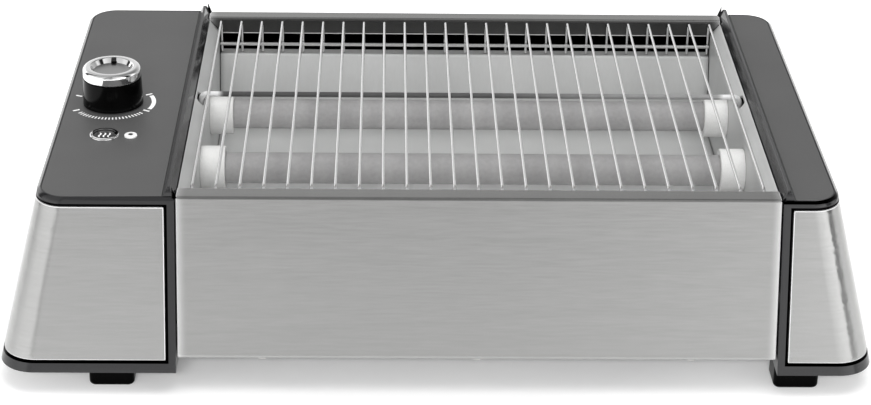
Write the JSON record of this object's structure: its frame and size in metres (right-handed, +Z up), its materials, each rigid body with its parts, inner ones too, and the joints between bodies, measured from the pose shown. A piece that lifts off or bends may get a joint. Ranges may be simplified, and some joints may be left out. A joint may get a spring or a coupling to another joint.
{
  "type": "flat toaster",
  "caption": "Flat electric toaster: wire rack over quartz heating tubes in an open sheet cavity, moulded ends with a timer knob, button and pilot lamp, crumb drawer.",
  "frame": {"origin": "on the table, under the middle of the whole object", "axes": "+Z up, +X to the right seen from the front, -Y the front, where the controls are nearest"},
  "size_m": [0.3874, 0.262, 0.1045],
  "materials": {
    "base_plastic": "plain black plastic",
    "block_white": "white insulating plastic",
    "bright_sheet": "bright aluminised sheet, mirror-like with faint streaks",
    "brushed_sheet": "steel sheet brushed along its length",
    "button_black": "dark plastic with a plain printed mark",
    "deck_plate": "matt dark grey plastic",
    "foot_rubber": "black rubber",
    "gland_black": "black plastic",
    "heating_wire": "heating wire",
    "knob_black": "glossy black plastic",
    "knob_chrome": "polished chrome",
    "knob_grey": "satin grey metal disc",
    "lamp_glass": "clear lamp glass",
    "lens_white": "white translucent plastic with a dark middle",
    "milky_quartz": "milky quartz, satin",
    "moulded_end": "glossy black moulded plastic",
    "plain_metal": "plain metal",
    "plain_sheet": "plain zinc-coated sheet",
    "rack_wire": "bright chromed wire",
    "white_ceramic": "unglazed white ceramic"
  },
  "bodies": {
    "root": {"left_end_housing": "moulded_end", "right_end_housing": "moulded_end", "left_steel_cover": "brushed_sheet", "right_steel_cover": "brushed_sheet", "control_deck": "deck_plate", "right_deck": "deck_plate", "left_base_cover": "base_plastic", "right_base_cover": "base_plastic", "left_front_foot": "foot_rubber", "left_rear_foot": "foot_rubber", "right_front_foot": "foot_rubber", "right_rear_foot": "foot_rubber", "front_panel": "brushed_sheet", "rear_panel": "brushed_sheet", "base_plate": "plain_sheet", "left_cavity_wall": "bright_sheet", "right_cavity_wall": "bright_sheet", "front_reflector": "bright_sheet", "rear_reflector": "bright_sheet", "front_quartz_tube": "milky_quartz", "rear_quartz_tube": "milky_quartz", "front_heating_coil": "heating_wire", "rear_heating_coil": "heating_wire", "front_left_ceramic_cap": "white_ceramic", "front_right_ceramic_cap": "white_ceramic", "rear_left_ceramic_cap": "white_ceramic", "rear_right_ceramic_cap": "white_ceramic", "tube_terminals": "plain_metal", "link_bar": "plain_metal", "timer_case": "base_plastic", "button_bezel": "knob_chrome", "button_spring": "plain_metal", "switch_body": "base_plastic", "pilot_lens": "lens_white", "pilot_lamp": "lamp_glass", "terminal_block": "block_white", "cord_gland": "gland_black", "foot_screws": "plain_metal", "base_cover_screws": "plain_metal", "end_screws": "plain_metal", "timer_screws": "plain_metal", "panel_rivets": "plain_metal"},
    "knob": {"timer_knob": "knob_black", "knob_ring": "knob_chrome", "knob_disc": "knob_grey", "timer_shaft": "plain_metal"},
    "button": {"push_button": "button_black"},
    "rack": {"rack_wires": "rack_wire", "rack_cross_rod": "rack_wire", "rack_front_rod": "rack_wire", "rack_rear_rod": "rack_wire"},
    "drawer": {"crumb_tray": "bright_sheet", "tray_pull": "brushed_sheet"}
  },
  "joints": [
    {"name": "timer_turn", "type": "hinge", "parent": "root", "child": "knob", "pos_m": [-0.1522, -0.0088, 0.0855], "axis": [0, 0, -1], "range_deg": [0, 300]},
    {"name": "button_press", "type": "slide", "parent": "root", "child": "button", "axis": [0, 0, -1], "range_m": [0, 0.0025], "stiffness_N_per_m": 400, "springref_m": -0.001, "deforming": ["button_spring"]},
    {"name": "rack_lift", "type": "slide", "parent": "root", "child": "rack", "axis": [0, 0, 1], "range_m": [0, 0.06]},
    {"name": "drawer_slide", "type": "slide", "parent": "root", "child": "drawer", "axis": [0, 1, 0], "range_m": [0, 0.235]}
  ]
}
